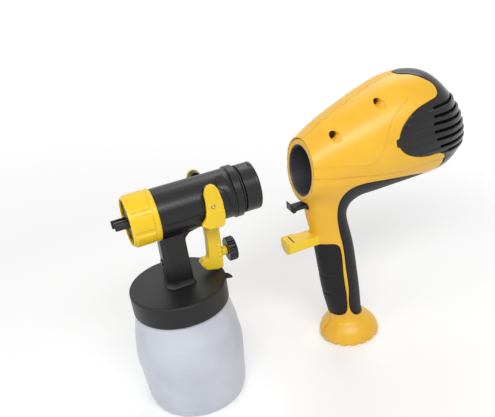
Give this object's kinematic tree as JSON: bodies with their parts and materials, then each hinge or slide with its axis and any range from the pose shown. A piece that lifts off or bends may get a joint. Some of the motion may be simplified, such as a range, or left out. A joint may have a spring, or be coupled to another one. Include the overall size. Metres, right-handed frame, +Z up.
{
  "type": "hand-held turbine paint sprayer",
  "caption": "Hand-held turbine paint sprayer: a spray head with trigger, needle and screw-on cup, beside the turbine handle that it docks into.",
  "frame": {"origin": "centre of the flat base of the cup", "axes": "+Z up, +X rearwards along the spray axis, so the nozzle points to -X and the left side is -Y"},
  "size_m": [0.4111, 0.1168, 0.2972],
  "materials": {
    "yellow_shell": "fine-grained satin",
    "bright_yellow": "satin",
    "black_plastic": "satin",
    "cap_plastic": "satin",
    "lid_plastic": "fine-grained satin",
    "soft_grip": "matt",
    "cup_plastic": "milky satin",
    "clear_tube": "milky",
    "seal_rubber": "matt",
    "nozzle_brass": "machined",
    "bright_steel": "bright",
    "spring_steel": "drawn",
    "filter_foam": "open foam",
    "wheel_aluminium": "cast",
    "motor_iron": "plated",
    "carbon": "matt"
  },
  "bodies": {
    "handle_unit": {"shell_left": "yellow_shell", "shell_right": "yellow_shell", "shell_screws": "spring_steel", "front_grip": "soft_grip", "rear_grip": "soft_grip", "docking_sleeve": "cap_plastic", "outlet_screen": "cap_plastic", "air_duct": "black_plastic", "turbine_housing": "black_plastic", "motor_can": "motor_iron", "field_magnets": "motor_iron", "motor_end_cap": "black_plastic", "front_bearing": "bright_steel", "rear_bearing": "bright_steel", "carbon_brushes": "carbon", "motor_cushion": "seal_rubber", "slider_spring": "spring_steel", "motor_switch": "black_plastic", "latch_pin": "bright_steel", "latch_spring": "spring_steel", "cord_gland": "seal_rubber"},
    "dock_seal": {"dock_seal": "seal_rubber"},
    "spray_head": {"spray_body": "black_plastic", "docking_collar": "black_plastic", "fluid_nozzle": "nozzle_brass", "nozzle_seal": "seal_rubber", "needle_packing": "seal_rubber", "gland_nut": "nozzle_brass", "needle_spring": "spring_steel", "rear_guide": "black_plastic", "trigger_pivots": "bright_steel", "cup_lid": "lid_plastic", "lid_ring": "lid_plastic", "cup_seal": "seal_rubber", "air_valve": "cap_plastic"},
    "nut": {"union_nut": "bright_yellow"},
    "air_cap": {"air_cap": "cap_plastic"},
    "needle": {"needle": "bright_steel", "needle_carrier": "black_plastic", "needle_cross_pin": "bright_steel"},
    "trigger": {"trigger": "bright_yellow"},
    "flow_stop": {"flow_stop": "bright_steel"},
    "flow_knob": {"flow_knob": "black_plastic"},
    "suction_tube": {"suction_tube": "clear_tube"},
    "cup": {"cup": "cup_plastic"},
    "rotor": {"motor_shaft": "bright_steel", "fan_wheel": "wheel_aluminium", "armature": "motor_iron"},
    "rear_cover": {"rear_cover": "black_plastic", "intake_filter": "filter_foam"},
    "switch_slider": {"switch_slider": "bright_yellow"},
    "latch": {"latch_tongue": "black_plastic"}
  },
  "joints": [
    {"name": "docking_slide", "type": "slide", "parent": "handle_unit", "child": "dock_seal", "axis": [1, 0, 0], "range_m": [0, 0.0685]},
    {"name": "bayonet_twist", "type": "hinge", "parent": "dock_seal", "child": "spray_head", "pos_m": [0.08, 0, 0.222], "axis": [1, 0, 0], "range_deg": [0, 45]},
    {"name": "nut_off", "type": "slide", "parent": "spray_head", "child": "nut", "axis": [-1, 0, 0], "range_m": [0, 0.045]},
    {"name": "air_cap_turn", "type": "hinge", "parent": "nut", "child": "air_cap", "pos_m": [-0.034, 0, 0.222], "axis": [1, 0, 0], "range_deg": [-65, 25]},
    {"name": "trigger_pull", "type": "hinge", "parent": "spray_head", "child": "trigger", "pos_m": [0.0444, 0, 0.2395], "axis": [0, -1, 0], "range_deg": [0, 6.5], "stiffness_Nm_per_rad": 1.5, "springref_deg": -17.19},
    {"name": "needle_travel", "type": "slide", "parent": "spray_head", "child": "needle", "axis": [1, 0, 0], "range_m": [0, 0.0018], "deforming": ["needle_spring"]},
    {"name": "flow_stop_travel", "type": "slide", "parent": "trigger", "child": "flow_stop", "axis": [1, 0, 0], "range_m": [0, 0.0025]},
    {"name": "flow_knob_turn", "type": "hinge", "parent": "flow_stop", "child": "flow_knob", "pos_m": [0.0634, 0, 0.158], "axis": [1, 0, 0], "range_deg": [0, 720]},
    {"name": "suction_tube_turn", "type": "hinge", "parent": "spray_head", "child": "suction_tube", "pos_m": [0.003, 0, 0.1], "axis": [0, 0, 1], "range_deg": [0, 180]},
    {"name": "cup_off", "type": "slide", "parent": "spray_head", "child": "cup", "axis": [0, 0, -1], "range_m": [0, 0.135]},
    {"name": "fan_spin", "type": "hinge", "parent": "handle_unit", "child": "rotor", "pos_m": [0.2527, 0, 0.231], "axis": [1, 0, 0], "continuous": true},
    {"name": "rear_cover_off", "type": "slide", "parent": "handle_unit", "child": "rear_cover", "axis": [1, 0, 0], "range_m": [0, 0.06]},
    {"name": "switch_push", "type": "slide", "parent": "handle_unit", "child": "switch_slider", "axis": [1, 0, 0], "range_m": [0, 0.003], "stiffness_N_per_m": 150, "springref_m": -0.006, "deforming": ["slider_spring"]},
    {"name": "latch_press", "type": "hinge", "parent": "handle_unit", "child": "latch", "pos_m": [0.1607, 0, 0.181], "axis": [0, 1, 0], "range_deg": [-10, 0], "stiffness_Nm_per_rad": 0.05, "springref_deg": 17.19}
  ],
  "couplings": [
    {"joint": "needle_travel", "follows": "trigger_pull", "m_per_rad": 0.0155},
    {"joint": "flow_knob_turn", "follows": "flow_stop_travel", "rad_per_m": 5026.5}
  ]
}
